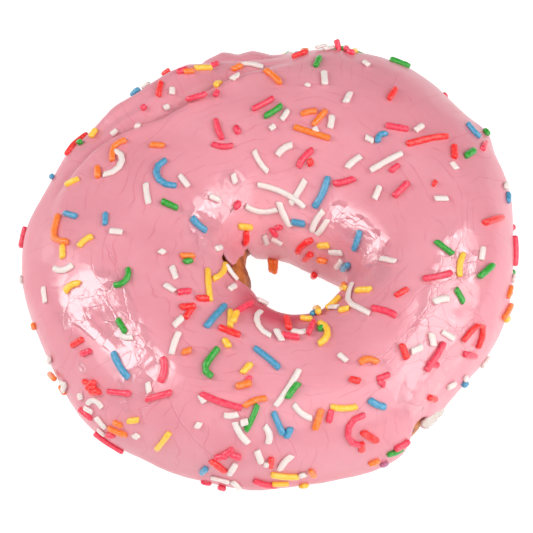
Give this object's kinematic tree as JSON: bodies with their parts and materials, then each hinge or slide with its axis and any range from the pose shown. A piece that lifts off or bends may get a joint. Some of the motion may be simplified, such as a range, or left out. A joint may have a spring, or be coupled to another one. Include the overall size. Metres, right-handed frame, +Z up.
{
  "type": "sprinkle frosted doughnut",
  "caption": "Ring doughnut with a soft pink icing coat over the top, sides and hole, scattered with coloured sugar sprinkles.",
  "frame": {"origin": "on the surface that the ring rests on, under the middle of its whole width and depth", "axes": "+Z up through the hole, +X to the right along the ring's wider way, +Y towards the back"},
  "size_m": [0.1118, 0.109, 0.0352],
  "materials": {
    "fried_dough": "browned fried dough, slightly oily, fine pores and creases",
    "pink_icing": "glossy soft pink sugar icing with fine drying cracks and folds",
    "sugar_white": "white sugar strands, satin",
    "sugar_crimson": "crimson sugar strands, satin",
    "sugar_red": "red sugar strands, satin",
    "sugar_orange": "orange sugar strands, satin",
    "sugar_yellow": "yellow sugar strands, satin",
    "sugar_green": "green sugar strands, satin",
    "sugar_blue": "blue sugar strands, satin",
    "sugar_purple": "purple sugar bead, satin",
    "icing_sugar_crust": "dried cream-white sugar crust, rough"
  },
  "bodies": {
    "root": {"dough": "fried_dough", "icing": "pink_icing"}
  },
  "joints": []
}
